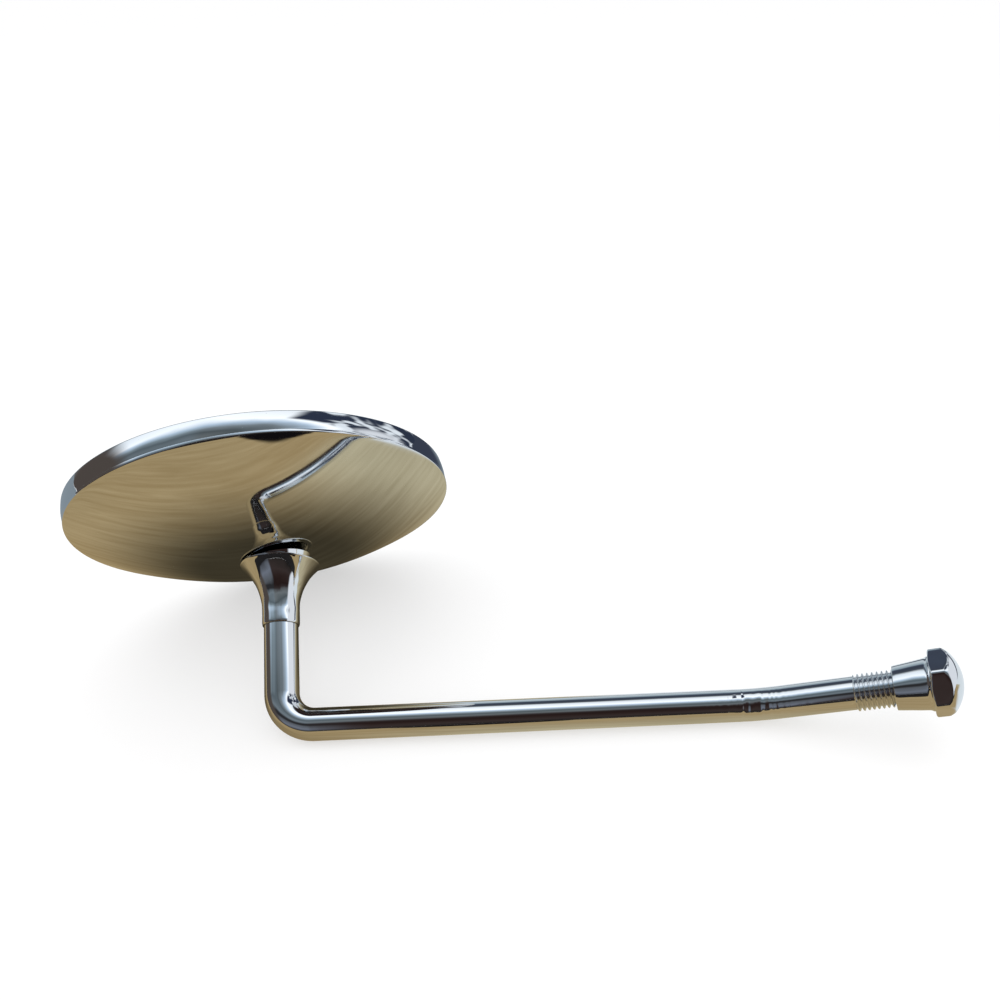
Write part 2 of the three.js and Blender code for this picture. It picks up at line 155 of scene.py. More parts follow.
def rounded(points, looped=False, steps=5):
    """The outline with its corners rounded: a point's third number is how far back the rounding starts."""
    out = []
    last = len(points) - 1
    for i, point in enumerate(points):
        if len(point) == 2 or (not looped and i in (0, last)):
            out.append(point[:2])
            continue
        corner = Vector(point[:2])
        before = Vector(points[i - 1][:2]) - corner
        after = Vector(points[(i + 1) % len(points)][:2]) - corner
        reach = min(point[2], before.length * 0.49, after.length * 0.49)
        start, stop = corner + before.normalized() * reach, corner + after.normalized() * reach
        for k in range(steps + 1):
            share = k / steps
            spot = start.lerp(corner, share).lerp(corner.lerp(stop, share), share)
            out.append(tuple(spot))
    return out


def fine(points, step):
    """The outline with long straight stretches divided, for surfaces that a shape function changes."""
    out = [points[0]]
    for near, far in zip(points, points[1:]):
        parts = max(1, math.ceil(math.dist(near, far) / step))
        out += [tuple(Vector(near).lerp(Vector(far), k / parts)) for k in range(1, parts + 1)]
    return out


# ---------------------------------------------------------------- meshes
SHARP_EDGE = math.radians(38)


def skin(name, rows, looped=False):
    """Object through rows of points: a row is a ring, or one point where the surface closes."""
    shell = bmesh.new()
    made = [[shell.verts.new(point) for point in row] for row in rows]
    count = max(len(row) for row in rows)
    pairs = list(zip(made, made[1:])) + ([(made[-1], made[0])] if looped else [])
    for near, far in pairs:
        for i in range(count):
            j = (i + 1) % count
            corners = [near[i % len(near)], near[j % len(near)], far[j % len(far)], far[i % len(far)]]
            corners = list(dict.fromkeys(corners))
            if len(corners) > 2:
                shell.faces.new(corners)
    bmesh.ops.recalc_face_normals(shell, faces=shell.faces)
    for edge in shell.edges:
        edge.smooth = not (len(edge.link_faces) == 2 and edge.calc_face_angle() > SHARP_EDGE)
    for face in shell.faces:
        face.smooth = True
    mesh = bpy.data.meshes.new(name)
    shell.to_mesh(mesh)
    shell.free()
    made_object = bpy.data.objects.new(name, mesh)
    bpy.context.scene.collection.objects.link(made_object)
    return made_object


def turned(name, profile, place, sides, shape=None, looped=False, offset=(0, 0)):
    """Piece turned about the z axis of place; shape(angle, radius, height) may change each point's radius."""
    rows = []
    for radius, height in profile:
        if radius < 1e-6:
            rows.append([place @ Vector((*offset, height))])
            continue
        ring = []
        for i in range(sides):
            angle = TURN * i / sides
            reach = shape(angle, radius, height) if shape else radius
            spot = (offset[0] + reach * math.cos(angle), offset[1] + reach * math.sin(angle), height)
            ring.append(place @ Vector(spot))
        rows.append(ring)
    return skin(name, rows, looped)


def fit(piece, body, node, finish):
    """Puts a finished piece on its body in the place of a CAD node."""
    piece.data.materials.append(finish)
    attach(piece, body)
    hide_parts(node)
    return piece


def smooth_step(value):
    value = min(max(value, 0.0), 1.0)
    return value * value * (3 - 2 * value)


# ---------------------------------------------------------------- finishes
class Signal:
    """A number on its way between shader nodes; arithmetic on it adds Math nodes."""

    def __init__(self, finish, socket):
        self.finish = finish
        self.socket = socket

    def math(self, operation, *values):
        made = self.finish.node("Math", {"operation": operation}, dict(enumerate([self, *values])))
        return Signal(self.finish, made.outputs[0])

    def __add__(self, other):
        return self.math("ADD", other)

    __radd__ = __add__

    def __mul__(self, other):
        return self.math("MULTIPLY", other)

    __rmul__ = __mul__

    def __sub__(self, other):
        return self.math("SUBTRACT", other)

    def __rsub__(self, other):
        return (self * -1) + other

    def __truediv__(self, other):
        return self.math("DIVIDE", other)

    def between(self, low, high):
        """0 below low, 1 above high, smooth in between."""
        limits = {"Value": self, "From Min": low, "From Max": high}
        made = self.finish.node("MapRange", {"interpolation_type": "SMOOTHSTEP"}, limits)
        return Signal(self.finish, made.outputs[0])


class Finish:
    """One procedural material, with its surface shader at hand."""

    def __init__(self, name):
        self.material = bpy.data.materials.new(name)
        self.material.use_nodes = True
        self.tree = self.material.node_tree
        self.surface = self.tree.nodes["Principled BSDF"]

    def node(self, kind, settings=None, inputs=None):
        made = self.tree.nodes.new("ShaderNode" + kind)
        for key, value in (settings or {}).items():
            if key == "stops":
                self.set_stops(made.color_ramp, value)
            else:
                setattr(made, key, value)
        for key, value in (inputs or {}).items():
            self.feed(made.inputs[key], value)
        return made

    @staticmethod
    def set_stops(ramp, stops):
        while len(ramp.elements) > 1:
            ramp.elements.remove(ramp.elements[-1])
        for i, (place, colour) in enumerate(stops):
            stop = ramp.elements[0] if i == 0 else ramp.elements.new(place)
            stop.position = place
            stop.color = (*colour, 1)

    def feed(self, socket, value):
        if isinstance(value, Signal):
            value = value.socket
        if isinstance(value, bpy.types.NodeSocket):
            self.tree.links.new(value, socket)
        elif hasattr(value, "__len__") and len(value) == 3 and socket.type == "RGBA":
            socket.default_value = (*value, 1)
        else:
            socket.default_value = value

    def set(self, **uniform):
        """Uniform values of the surface shader, by names with _ for a space."""
        for key, value in uniform.items():
            self.feed(self.surface.inputs[key.replace("_", " ")], value)

    def place(self, stretch=(1, 1, 1)):
        """Position on the piece, stretched; features are then as large as the scale says, in metres."""
        coordinates = self.node("TexCoord").outputs["Object"]
        if stretch == (1, 1, 1):
            return coordinates
        return self.node("VectorMath", {"operation": "MULTIPLY"}, {0: coordinates, 1: stretch}).outputs[0]

    def axis_values(self):
        apart = self.node("SeparateXYZ", None, {0: self.place()})
        return [Signal(self, apart.outputs[i]) for i in range(3)]

    def clouds(self, size, detail=3.0, roughness=0.55, stretch=(1, 1, 1), warp=0.0):
        """Soft noise from 0 to 1 with features of about size, in metres."""
        inputs = {"Vector": self.place(stretch), "Scale": 1 / size, "Detail": detail}
        inputs.update({"Roughness": roughness, "Distortion": warp})
        return Signal(self, self.node("TexNoise", None, inputs).outputs[0])

    def specks(self, spacing, radius, stretch=(1, 1, 1)):
        """1 in small round spots, spacing apart on average, else 0."""
        made = self.node("TexVoronoi", None, {"Vector": self.place(stretch), "Scale": 1 / spacing})
        distance = Signal(self, made.outputs["Distance"])
        chance = Signal(self, self.node("SeparateXYZ", None, {0: made.outputs["Color"]}).outputs[0])
        reach = radius / spacing
        return (1 - distance.between(reach * 0.5, reach)) * chance.between(0.45, 0.75)

    def mix(self, share, low, high):
        return self.node("Mix", {"data_type": "RGBA"}, {"Factor": share, 6: low, 7: high}).outputs[2]

    def bump(self, *layers):
        """Normal from (height signal, depth in metres) layers."""
        normal = None
        for height, depth in layers:
            inputs = {"Height": height, "Distance": depth, "Strength": 1.0}
            if normal is not None:
                inputs["Normal"] = normal
            normal = self.node("Bump", None, inputs).outputs[0]
        self.set(Normal=normal)


def chrome_finish(name, haze, ripple):
    """Bright chrome plate: haze is how cloudy its polish is, ripple the depth of its unevenness in metres."""
    chrome = Finish(name)
    smudge = chrome.clouds(0.011, detail=5, warp=0.6).between(0.42, 0.72)
    film = chrome.clouds(0.035, detail=2).between(0.35, 0.75)
    dust = chrome.specks(0.0021, 0.00016)
    pits = chrome.specks(0.0052, 0.00011)
    clean = chrome.mix(film, (0.80, 0.82, 0.84), (0.76, 0.785, 0.81))
    dusty = chrome.mix(dust * 0.35, clean, (0.86, 0.86, 0.84))
    chrome.set(
        Metallic=1.0,
        Base_Color=chrome.mix(pits * 0.8, dusty, (0.30, 0.29, 0.28)),
        Roughness=haze + smudge * haze * 0.9 + dust * 0.22 + pits * 0.2,
    )
    wave = chrome.clouds(0.006, detail=1.5)
    grit = chrome.clouds(0.0007, detail=2)
    chrome.bump((wave, ripple), (grit, ripple * 0.012))
    return chrome.material


def rubber_finish():
    rubber = Finish("seal_rubber")
    mottle = rubber.clouds(0.004, detail=4)
    dust = rubber.specks(0.0016, 0.00014)
    black = rubber.mix(mottle.between(0.3, 0.8), (0.010, 0.010, 0.011), (0.020, 0.020, 0.021))
    rubber.set(
        Base_Color=rubber.mix(dust * 0.5, black, (0.24, 0.24, 0.23)),
        Roughness=0.20 + mottle * 0.16 + dust * 0.3,
        Specular_IOR_Level=0.55,
    )
    rubber.bump((rubber.clouds(0.0006, detail=3), 0.000006))
    return rubber.material


def glass_finish():
    glass = Finish("pane_glass")
    smear = glass.clouds(0.012, detail=4, warp=1.5, stretch=(1, 0.4, 1)).between(0.5, 0.85)
    dust = glass.specks(0.0024, 0.00015)
    glass.set(
        Base_Color=glass.mix(dust * 0.6, (0.965, 0.985, 0.99), (0.75, 0.76, 0.76)),
        Roughness=0.004 + smear * 0.03 + dust * 0.3,
        Transmission_Weight=1.0,
        IOR=1.52,
    )
    return glass.material


def silver_finish():
    silver = Finish("pane_silvering")
    drift = silver.clouds(0.03, detail=2)
    silver.set(
        Metallic=1.0,
        Base_Color=silver.mix(drift, (0.80, 0.845, 0.885), (0.83, 0.865, 0.895)),
        Roughness=0.006 + drift * 0.012,
    )
    return silver.material


def zinc_finish():
    zinc = Finish("zinc_plate")
    bloom = zinc.clouds(0.002, detail=4)
    drawn = zinc.clouds(0.0009, detail=3, stretch=(1, 1, 6))
    zinc.set(
        Metallic=1.0,
        Base_Color=zinc.mix(bloom, (0.56, 0.57, 0.58), (0.70, 0.70, 0.68)),
        Roughness=0.26 + bloom * 0.2,
    )
    zinc.bump((drawn, 0.000008))
    return zinc.material


def nylon_finish():
    nylon = Finish("seat_nylon")
    flow = nylon.clouds(0.0025, detail=3, stretch=(1, 1, 0.4))
    nylon.set(
        Base_Color=nylon.mix(flow, (0.70, 0.67, 0.58), (0.80, 0.78, 0.71)),
        Roughness=0.38 + flow * 0.18,
        Subsurface_Weight=0.15,
        Subsurface_Scale=0.001,
    )
    nylon.bump((nylon.clouds(0.0005, detail=2), 0.000005))
    return nylon.material


FOAM_CELL = 1 / 1900  # m


def foam_finish():
    foam = Finish("pad_foam")
    pores = foam.node("TexVoronoi", None, {"Vector": foam.place(), "Scale": 1 / FOAM_CELL})
    cells = Signal(foam, pores.outputs["Distance"])
    # Darker at the bottom of each pore: painted shade in the foam's holes.
    foam.set(Base_Color=foam.mix(cells, (0.010, 0.010, 0.011), (0.055, 0.055, 0.058)), Roughness=0.95)
    foam.bump((cells, 0.00025))
    return foam.material


# ---------------------------------------------------------------- stem
KINK_SPAN = 16.0  # mm to each side that the cold bend has left its marks on
KINK_DENT = 0.36
KINK_MARK_BACK = 1.8  # how far before the corner the deepest mark lies
WRINKLE_DEPTH = 0.09
CREASE_DEPTH = 0.24
KINK_DENT_ANGLE = math.radians(52)  # from straight up, towards the front


def corner_arc(corner, back, ahead, radius, steps):
    """Centreline points and directions of the arc that rounds a corner between two directions."""
    between = back.angle(ahead)
    tangent = radius / math.tan(between / 2)
    centre = corner + (back + ahead).normalized() * radius / math.sin(between / 2)
    first = corner + back * tangent - centre
    last = corner + ahead * tangent - centre
    sweep = math.pi - between
    points = []
    for i in range(steps + 1):
        share = i / steps
        spot = first * math.sin((1 - share) * sweep) + last * math.sin(share * sweep)
        spot = spot / math.sin(sweep)
        points.append(centre + spot)
    return points


def rod_line():
    """The rod's centreline in millimetres from its collar end to its thread, with its directions."""
    bend = bend_corner / MM
    kink = kink_corner / MM
    line = [bend + short_leg * (COLLAR_SEAM - COLLAR_GAP - back) for back in (0.1, 0.16, 0.3, 0.8)]
    line += corner_arc(bend, short_leg, long_leg, BEND_RADIUS, 40)
    line += [kink - long_leg * KINK_SPAN]
    line += corner_arc(kink, -long_leg, thread_axis, KINK_RADIUS, 24)
    line += [kink + thread_axis * KINK_SPAN, kink + thread_axis * THREAD_START]
    dense = [line[0]]
    for near, far in zip(line, line[1:]):
        middle = (near + far) / 2
        step = 0.35 if abs(middle.x - kink.x) < KINK_SPAN else 3.0
        parts = max(1, math.ceil((far - near).length / step))
        dense += [near.lerp(far, k / parts) for k in range(1, parts + 1)]
    ways = []
    for i in range(len(dense)):
        ways.append((dense[min(i + 1, len(dense) - 1)] - dense[max(i - 1, 0)]).normalized())
    ways[0], ways[-1] = -short_leg, thread_axis.copy()
    return dense, ways


def kink_shape(spot, angle_from_top):
    """How far the rod's skin stands out where it was bent cold, in millimetres."""
    distance = spot.x - kink_corner.x / MM + KINK_MARK_BACK
    envelope = math.exp(-((distance / 4.2) ** 2))
    facing = math.exp(-(((angle_from_top - KINK_DENT_ANGLE) / 0.7) ** 2))
    wrinkle = math.sin(distance * 1.7 + angle_from_top * 1.6) * math.exp(-(((distance + 0.5) / 5.5) ** 2))
    upper_side = max(0.0, math.cos(angle_from_top - KINK_DENT_ANGLE))
    crease = noise.noise(spot * 0.8) * math.exp(-((distance / 8.0) ** 2)) * upper_side
    return facing * (wrinkle * WRINKLE_DEPTH - envelope * KINK_DENT) + crease * CREASE_DEPTH


def thread_shape(crest, root, start, stop, pitch):
    """Radius of a rolled thread by angle and height; it runs in and out over about a turn."""
    def shape(angle, radius, height):
        if not start <= height <= stop:
            return radius
        wave = math.cos(TURN * (height / pitch) - angle)
        flank = 0.5 + 0.5 * math.copysign(abs(wave) ** 0.8, wave)
        run = smooth_step((height - start) / pitch) * smooth_step((stop - height) / (0.8 * pitch))
        return radius + (root + (crest - root) * flank - radius) * run
    return shape


def rod_piece(finish):
    """The bent rod: blind socket and spigot in the collar, short leg, bend, long leg, kink and thread."""
    sides = 72
    thread_steps = 14
    line, ways = rod_line()
    stations = []
    neck = [
        (0, SOCKET_FLOOR), (SOCKET_RADIUS, SOCKET_FLOOR), (SOCKET_RADIUS, SPIGOT_END),
        (SPIGOT_RADIUS, SPIGOT_END), (SPIGOT_RADIUS, COLLAR_SEAM - COLLAR_GAP),
        (ROD_RADIUS - 0.12, COLLAR_SEAM - COLLAR_GAP),
    ]
    for radius, height in neck:
        stations.append((bend_corner / MM + short_leg * height, -short_leg, radius, None))
    for spot, way in zip(line, ways):
        stations.append((spot, way, ROD_RADIUS, None))
    thread = thread_shape(THREAD_CREST, THREAD_ROOT, THREAD_START - 0.9, THREAD_END - 0.5, THREAD_PITCH)
    rows_of_thread = math.ceil((THREAD_END - THREAD_START) / THREAD_PITCH * thread_steps)
    for i in range(1, rows_of_thread + 1):
        height = THREAD_START + (THREAD_END - THREAD_START) * i / rows_of_thread
        radius = ROD_RADIUS - 0.2 * smooth_step((height - THREAD_END + 1.6) / 1.4)
        stations.append((kink_corner / MM + thread_axis * height, thread_axis, radius, height))
    stations.append((kink_corner / MM + thread_axis * THREAD_END, thread_axis, ROD_RADIUS - 0.9, None))
    stations.append((kink_corner / MM + thread_axis * THREAD_END, thread_axis, 0, None))

    rows = []
    across = long_leg.cross(short_leg).normalized()
    previous = -short_leg
    up = Vector((0, 0, 1))
    for spot, way, radius, height in stations:
        across.rotate(previous.rotation_difference(way))
        previous = way
        if radius < 1e-6:
            rows.append([spot * MM])
            continue
        other = way.cross(across)
        ring = []
        for i in range(sides):
            angle = TURN * i / sides
            outward = across * math.cos(angle) + other * math.sin(angle)
            reach = thread(angle, radius, height) if height else radius
            if spot.x > 0 and not height:
                from_top = math.atan2(-outward.y, outward.dot(up))
                reach += kink_shape(spot, from_top)
            ring.append((spot + outward * reach) * MM)
        rows.append(ring)
    return fit(skin("bent_rod", rows), "stem", "stem_rod", finish)


def hammered(depth, size, seed):
    """Shape function for a slightly uneven turned skin."""
    def shape(angle, radius, height):
        spot = Vector((math.cos(angle) * radius, math.sin(angle) * radius, height + seed)) / size
        return radius + depth * noise.noise(spot)
    return shape


def collar_piece(finish):
    """The flared collar round the short leg's end, up to its rolled mouth."""
    centre = (COLLAR_RADIUS + FLARE_ARC, FLARE_START)
    throat = FLARE_ARC + COLLAR_WALL
    outer = [
        (COLLAR_BORE, COLLAR_SEAM),
        (COLLAR_RADIUS - 0.12, COLLAR_SEAM, 0.1),
        (COLLAR_RADIUS, COLLAR_SEAM + 0.5, 0.3),
        (COLLAR_RADIUS, FLARE_START - 0.1),
    ]
    mouth = [
        (FLARE_RADIUS + 0.02, FLARE_PLANE - 0.14, 0.08),
        (FLARE_RADIUS - 0.16, FLARE_PLANE, 0.1),
        (FLARE_RADIUS - 1.5, FLARE_PLANE, 0.3),
    ]
    profile = rounded([
        *outer,
        *arc(centre, FLARE_ARC, 180, 180 - 45.2, 26),
        *mouth,
        *arc(centre, throat, 180 - 40.6, 180 - 14, 14),
        (COLLAR_BORE, SPIGOT_END + 0.3, 0.2),
    ], looped=True)
    uneven = hammered(0.065, 2.8, 11)
    collar = turned("flared_collar", fine(profile, 0.45), neck_frame, 144, uneven, looped=True)
    return fit(collar, "stem", "ferrule", finish)


# ---------------------------------------------------------------- ball joint
def ball_arc(radius, start, stop, steps):
    """Arc about the ball's centre, in degrees from the pole on the stem's side."""
    return arc((0, 0), radius, start - 90, stop - 90, steps)


SEAT_INNER = BALL_RADIUS + RUNNING_GAP
SEAT_OUTER = SEAT_INNER + 0.65
SOCKET_INNER = SEAT_OUTER + RUNNING_GAP
SOCKET_OUTER = SOCKET_INNER + SHEET
NECK_OPENING = 38.5


def ball_pieces(zinc, nylon):
    neck_meets_ball = -math.degrees(math.acos(NECK_RADIUS / BALL_RADIUS))
    shank = SOCKET_RADIUS - RUNNING_GAP
    pin = rounded([
        (0, SOCKET_FLOOR + 0.3), (shank, SOCKET_FLOOR + 0.3, 0.4), (shank, SPIGOT_END + 0.3),
        (NECK_RADIUS, SPIGOT_END + 0.3, 0.3),
        *arc((0, BALL_HEIGHT), BALL_RADIUS, neck_meets_ball, 89, 30), (0, BALL_HEIGHT + BALL_RADIUS),
    ])
    fit(turned("ball_pin", pin, neck_frame, 64), "stem", "ball_stud", zinc)

    ring = ball_arc(SEAT_INNER, 35, 80, 12) + ball_arc(SEAT_OUTER, 80, 35, 12)
    ring = [(radius, height + BALL_HEIGHT) for radius, height in ring]
    fit(turned("ball_liner", ring, neck_frame, 64, looped=True), "seat", "ball_seat", nylon)

    cup = rounded([
        (0, SEAT_INNER), *arc((0, 0), SEAT_INNER, 88, 20, 14), (6.5, 1.95, 0.2), (6.8, 2.4, 0.2),
        (6.8, 6.5, 0.5), (2.2, 6.5, 0.3), (2.2, 10.9, 0.5), (0, 10.9),
    ])
    fit(turned("pressing_cup", cup, head_frame, 64), "cup", "pressure_cup", nylon)


# ---------------------------------------------------------------- head
HEAD_SIDES = 224


def dome_point(radius, inward):
    """Point of the back's profile, moved inwards along its normal."""
    share = radius / HEAD_RADIUS
    height = DOME_APEX + DOME_DEPTH * share ** DOME_POWER
    slope = DOME_DEPTH * DOME_POWER * share ** (DOME_POWER - 1) / HEAD_RADIUS
    length = math.hypot(1, slope)
    return (radius - inward * slope / length, height + inward / length)


def dome_piece(finish):
    """The spun back with the socket that holds the ball, and the skirt inside the rim."""
    radii = [8.4 + (50.2 - 8.4) * i / 40 for i in range(41)]
    radii_inside = [8.4 + (48.6 - 8.4) * i / 40 for i in range(41)]
    profile = rounded([
        *ball_arc(SOCKET_OUTER, NECK_OPENING, 82, 16),
        (SOCKET_OUTER + 0.1, -0.3, 0.4),
        *[dome_point(radius, 0) for radius in radii],
        (HEAD_RADIUS - 0.08, BAND_REAR, 0.22),
        (HEAD_RADIUS - 0.08, SHOULDER, 0.05),
        (SKIRT_RADIUS, SHOULDER),
        (SKIRT_RADIUS, SKIRT_TOP, 0.2),
        (SKIRT_RADIUS - SHEET, SKIRT_TOP, 0.2),
        (SKIRT_RADIUS - SHEET, BAND_REAR + 0.6, 0.3),
        *[dome_point(radius, SHEET) for radius in reversed(radii_inside)],
        (SOCKET_INNER + 0.3, 0.8, 0.3),
        *ball_arc(SOCKET_INNER, 90, NECK_OPENING, 16),
    ], looped=True)
    back = turned("domed_back", profile, head_frame, HEAD_SIDES, looped=True)
    return fit(back, "head", "dome_shell", finish)


def rim_piece(finish):
    """The bright band that laps over the skirt and rolls in over the seal."""
    inside = HEAD_RADIUS - 0.6
    foot = SHOULDER + 0.04
    crown = []
    for k in range(13):
        share = k / 12
        crown.append((HEAD_RADIUS - 0.26 + 0.20 * math.sin(math.pi * share), foot + 0.1 + 4.3 * share))
    profile = rounded([
        (inside, foot, 0.1),
        (HEAD_RADIUS - 0.27, foot, 0.06),
        *crown,
        (HEAD_RADIUS - 0.36, BAND_FRONT - 0.2, 0.3),
        (HEAD_RADIUS - 0.65, BAND_FRONT, 0.2),
        (LIP_INNER, BAND_FRONT - 0.1, 0.12),
        (LIP_INNER, BAND_FRONT - 0.7, 0.12),
        (inside, BAND_FRONT - 1.2, 0.2),
    ], looped=True)
    uneven = hammered(0.018, 9.0, 4)
    rim = turned("rim_band", profile, head_frame, 288, uneven, looped=True)
    return fit(rim, "head", "rim_ring", finish)


BEAD_RISE = 0.6


def seal_piece(finish):
    """The black seal round the glass: outer step, groove and a rounded inner bead."""
    wall_outer = SKIRT_RADIUS - SHEET - RUNNING_GAP
    wall_inner = GLASS_RADIUS + RUNNING_GAP
    bead_base = GLASS_FRONT + 0.6
    bead_outer = SEAL_INNER + 2.35
    half = (bead_outer - SEAL_INNER) / 2
    bead_centre = ((SEAL_INNER + bead_outer) / 2, bead_base)
    bead = []
    for radius, height in arc(bead_centre, half, 0, 180, 14):
        bead.append((radius, bead_base + (height - bead_base) * BEAD_RISE / half))
    profile = rounded([
        (SEAL_INNER - 0.2, BAND_REAR + 0.2, 0.15),
        (wall_outer, BAND_REAR + 0.2, 0.3),
        (wall_outer, SKIRT_TOP + 0.3, 0.1),
        (LIP_INNER - 0.3, SKIRT_TOP + 0.3, 0.1),
        (LIP_INNER - 0.3, bead_base, 0.35),
        *bead,
        (SEAL_INNER, GLASS_FRONT + 0.3, 0.1),
        (wall_inner, GLASS_FRONT + 0.3, 0.1),
        (wall_inner, BAND_REAR + 0.6, 0.1),
        (SEAL_INNER - 0.2, BAND_REAR + 0.6, 0.1),
    ], looped=True)
    seal = turned("glass_seal", profile, head_frame, HEAD_SIDES, looped=True)
    return fit(seal, "head", "glass_gasket", finish)


def disc(name, radius, bottom, top, edge, node, finish):
    profile = rounded([(0, bottom), (radius, bottom, edge), (radius, top, edge), (0, top)])
    return fit(turned(name, profile, head_frame, 192), "head", node, finish)


def glass_pieces(glass, silver, foam):
    """The pane, the silvering behind it and the foam pad that presses on both."""
    behind = GLASS_RADIUS - 0.3
    coat = GLASS_BACK - RUNNING_GAP
    disc("mirror_pane", GLASS_RADIUS, GLASS_BACK, GLASS_FRONT, 0.35, "mirror_glass", glass)
    disc("silvering", behind, coat - 0.12, coat, 0.03, "mirror_coat", silver)
    disc("foam_pad", behind, BAND_REAR + 0.9, BAND_REAR + 2.0, 0.3, "backing_pad", foam)


# ---------------------------------------------------------------- clamp inside the head
def rounded_polygon(count, across_flats, sharpness=40):
    """Shape function: a bar with rounded edges, cut by the turned outline where that is narrower."""
    def shape(angle, radius, height):
        reach = sum(max(0.0, math.cos(angle - TURN * k / count)) ** sharpness for k in range(count))
        bar = across_flats / 2 / reach ** (1 / sharpness)
        return (bar ** -60 + radius ** -60) ** (-1 / 60)
    return shape


def three_lobes(angle, radius, height):
    """Outline of the clamp plate: a triangle with round corners; its centre hole stays round."""
    if radius < 5:
        return radius
    reach = sum(max(0.0, math.cos(angle - TURN * (k / 3 + 0.25) - math.pi)) ** 14 for k in range(3))
    side = 11.3 / max(reach, 1e-9) ** (1 / 14)
    return (side ** -14 + radius ** -14) ** (-1 / 14)


def clamp_pieces(zinc):
    spring = rounded(
        [(2.6, 7.7, 0.15), (6.2, 6.8, 0.15), (6.2, 7.4, 0.15), (2.6, 8.3, 0.15)], looped=True
    )
    fit(turned("cone_spring", spring, head_frame, 64, looped=True), "head", "disc_spring", zinc)

    plate = rounded([
        (2.6, CLAMP_BOTTOM, 0.2), (17.6, CLAMP_BOTTOM, 0.25), (17.6, CLAMP_TOP, 0.25), (2.6, CLAMP_TOP, 0.2)
    ], looped=True)
    bridge = turned("bridge_plate", plate, head_frame, 144, three_lobes, looped=True)
    fit(bridge, "head", "clamp_plate", zinc)

    for number in (1, 2, 3):
        angle = math.pi / 2 + TURN * (number - 1) / 3
        spot = (STUD_CIRCLE * math.cos(angle), STUD_CIRCLE * math.sin(angle))
        thread = thread_shape(1.95, 1.65, CLAMP_BOTTOM - 0.2, STUD_END - 0.3, 0.7)
        stud = fine(rounded([
            (0, STUD_FOOT), (3.0, STUD_FOOT, 0.2), (3.0, STUD_FOOT + 0.8, 0.3), (2.6, STUD_FOOT + 0.8),
            (2.6, CLAMP_BOTTOM - 0.3, 0.2), (1.9, CLAMP_BOTTOM - 0.3), (1.9, STUD_END - 0.3, 0.2),
            (1.5, STUD_END), (0, STUD_END),
        ]), 0.1)
        piece = turned(f"threaded_stud_{number}", stud, head_frame, 32, thread, offset=spot)
        fit(piece, "head", f"weld_stud_{number}", zinc)

        ring = rounded([(2.3, 10.4, 0.1), (3.5, 10.4, 0.1), (3.5, 11.2, 0.1), (2.3, 11.2, 0.1)], looped=True)
        piece = turned(f"spring_washer_{number}", ring, head_frame, 48, looped=True, offset=spot)
        fit(piece, "head", f"lock_washer_{number}", zinc)

        hexagon = rounded_polygon(6, 7.0)
        nut = rounded([
            (2.25, 11.5, 0.2), (3.4, 11.5, 0.1), (4.02, 11.85, 0.1), (4.02, 13.95, 0.1), (3.4, 14.3, 0.1),
            (2.25, 14.3, 0.2),
        ], looped=True)
        piece = turned(f"hex_nut_{number}", nut, head_frame, 72, hexagon, looped=True, offset=spot)
        fit(piece, "head", f"clamp_nut_{number}", zinc)


# ---------------------------------------------------------------- cap nut
def cap_piece(finish):
    """The cap nut: round barrel, raised shoulder, chamfered hex and domed end, with its blind bore."""
    corner = NUT_FLATS / math.sqrt(3)
    end_base = (7.9, NUT_HEX_END + 0.35)
    rise = NUT_TIP - end_base[1]
    end_radius = (end_base[0] ** 2 + rise ** 2) / (2 * rise)
    start = math.degrees(math.acos(end_base[0] / end_radius))
    end = arc((0, NUT_TIP - end_radius), end_radius, start, 89, 16)
    profile = rounded([
        (0, BORE_END), (BORE_RADIUS, BORE_END, 0.3),
        (BORE_RADIUS, RECESS_END), (RECESS_RADIUS, RECESS_END), (RECESS_RADIUS, RECESS_START),
        (BORE_RADIUS, RECESS_START), (BORE_RADIUS, NUT_MOUTH + 0.2), (BORE_RADIUS + 0.1, NUT_MOUTH),
        (BARREL_RADIUS, NUT_MOUTH, 0.18),
        (BARREL_WIDEST - 0.2, NUT_SHOULDER - 0.8, 0.5),
        (BARREL_WIDEST + 0.18, NUT_SHOULDER - 0.15, 0.25),
        (BARREL_WIDEST + 0.15, NUT_SHOULDER + 0.12, 0.15),
        (8.35, NUT_SHOULDER + 0.2, 0.15),
        (corner - 0.05, NUT_SHOULDER + 0.55, 0.3),
        (corner - 0.05, NUT_HEX_END - 1.2, 0.3),
        (8.2, NUT_HEX_END, 0.3),
        (*end_base, 0.3),
        *end[1:],
        (0, NUT_TIP),
    ])
    hexagon = rounded_polygon(6, NUT_FLATS)
    uneven = hammered(0.035, 3.0, 7)

    def skin_radius(angle, radius, height):
        inside = radius < BORE_RADIUS + 0.2 and height < BORE_END + 0.1
        return radius if inside else uneven(angle, hexagon(angle, radius, height), height)

    cap = turned("hex_cap", fine(profile, 0.8), end_frame, 168, skin_radius)
    return fit(cap, "nut", "cap_nut", finish)


def lock_insert(finish):
    """The nylon ring in the nut's recess."""
    low, high = RECESS_START + LOCK_RING_GAP, RECESS_END - LOCK_RING_GAP
    inner, outer = BORE_RADIUS + 0.05, RECESS_RADIUS - LOCK_RING_GAP
    corners = [(inner, low), (outer, low), (outer, high), (inner, high)]
    ring = rounded([(*corner, 0.2) for corner in corners], looped=True)
    piece = turned("lock_insert", ring, end_frame, 72, looped=True)
    return fit(piece, "nut_carrier", "lock_ring", finish)


# ---------------------------------------------------------------- stage
TENT_RADIUS = 1.1
TENT_REACH = 95  # degrees to each side of straight up that the bands are given for
STAGE_CENTRE = Vector((0, bend_corner.y, 0))
